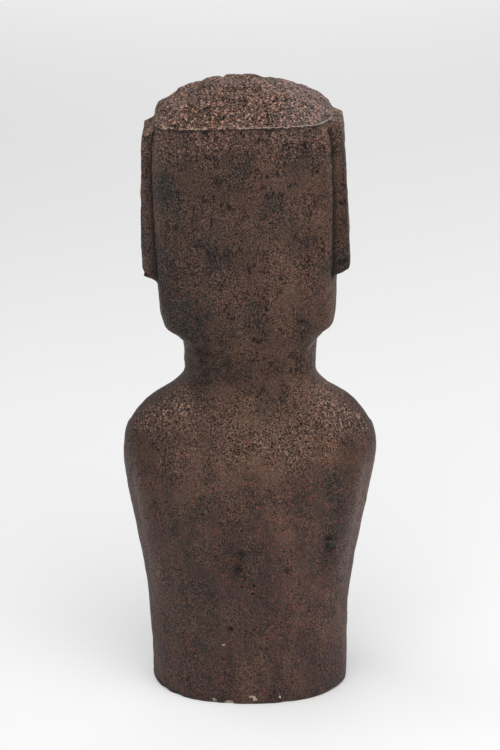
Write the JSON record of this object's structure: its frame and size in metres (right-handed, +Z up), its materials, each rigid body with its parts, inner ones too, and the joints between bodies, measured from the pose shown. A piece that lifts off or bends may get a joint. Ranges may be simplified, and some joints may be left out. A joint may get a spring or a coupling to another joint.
{
  "type": "moai head statue",
  "caption": "Standing garden figure with a long square head, domed crown, slab ears and a short neck on a rounded trunk with low-relief arms, on a flat oval underside.",
  "frame": {"origin": "middle of the flat underside, where the figure stands", "axes": "+Z up, the face looks along -Y and the back along +Y, +X is the figure's left"},
  "size_m": [0.3212, 0.2255, 0.7999],
  "materials": {
    "painted_stone": "matte"
  },
  "bodies": {
    "root": {"moai_statue": "painted_stone"}
  },
  "joints": []
}
